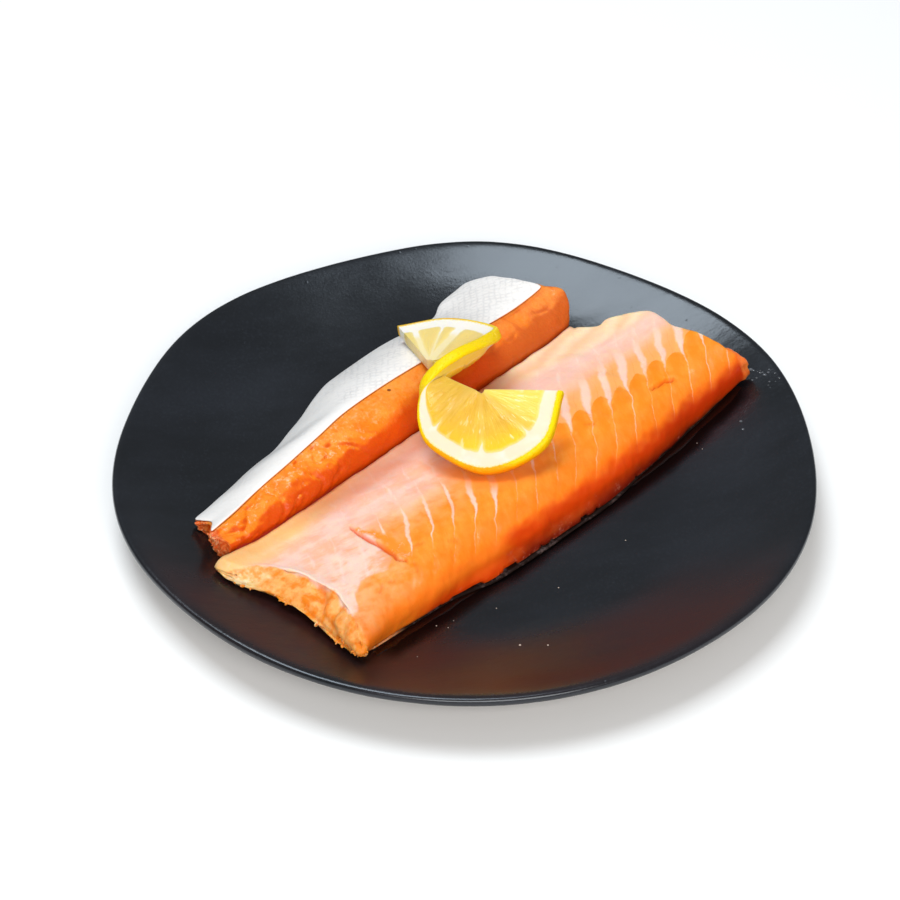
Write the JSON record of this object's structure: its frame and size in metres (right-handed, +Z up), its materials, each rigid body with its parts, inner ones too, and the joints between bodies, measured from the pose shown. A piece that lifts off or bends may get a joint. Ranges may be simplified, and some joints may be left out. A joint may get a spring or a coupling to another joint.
{
  "type": "plated salmon belly",
  "caption": "Strips of raw salmon belly lying side by side on a dark hand-formed stoneware plate, with a twist of lemon across them.",
  "frame": {"origin": "centre of the plate's foot, on the table", "axes": "+Z up; +X to the picture's right and +Y away from its camera; the strips run at 45 degrees between +X and +Y"},
  "size_m": [0.2673, 0.2724, 0.046],
  "materials": {
    "plate_glaze": "dark satin ceramic glaze",
    "salmon_flesh": "moist raw flesh",
    "fish_skin": "moist pale skin with fine scales",
    "lemon": "fresh cut citrus"
  },
  "bodies": {
    "root": {"plate": "plate_glaze", "front_belly_flesh": "salmon_flesh", "front_belly_skin": "fish_skin", "rear_belly_flesh": "salmon_flesh", "rear_belly_skin": "fish_skin", "lemon_twist": "lemon"}
  },
  "joints": []
}
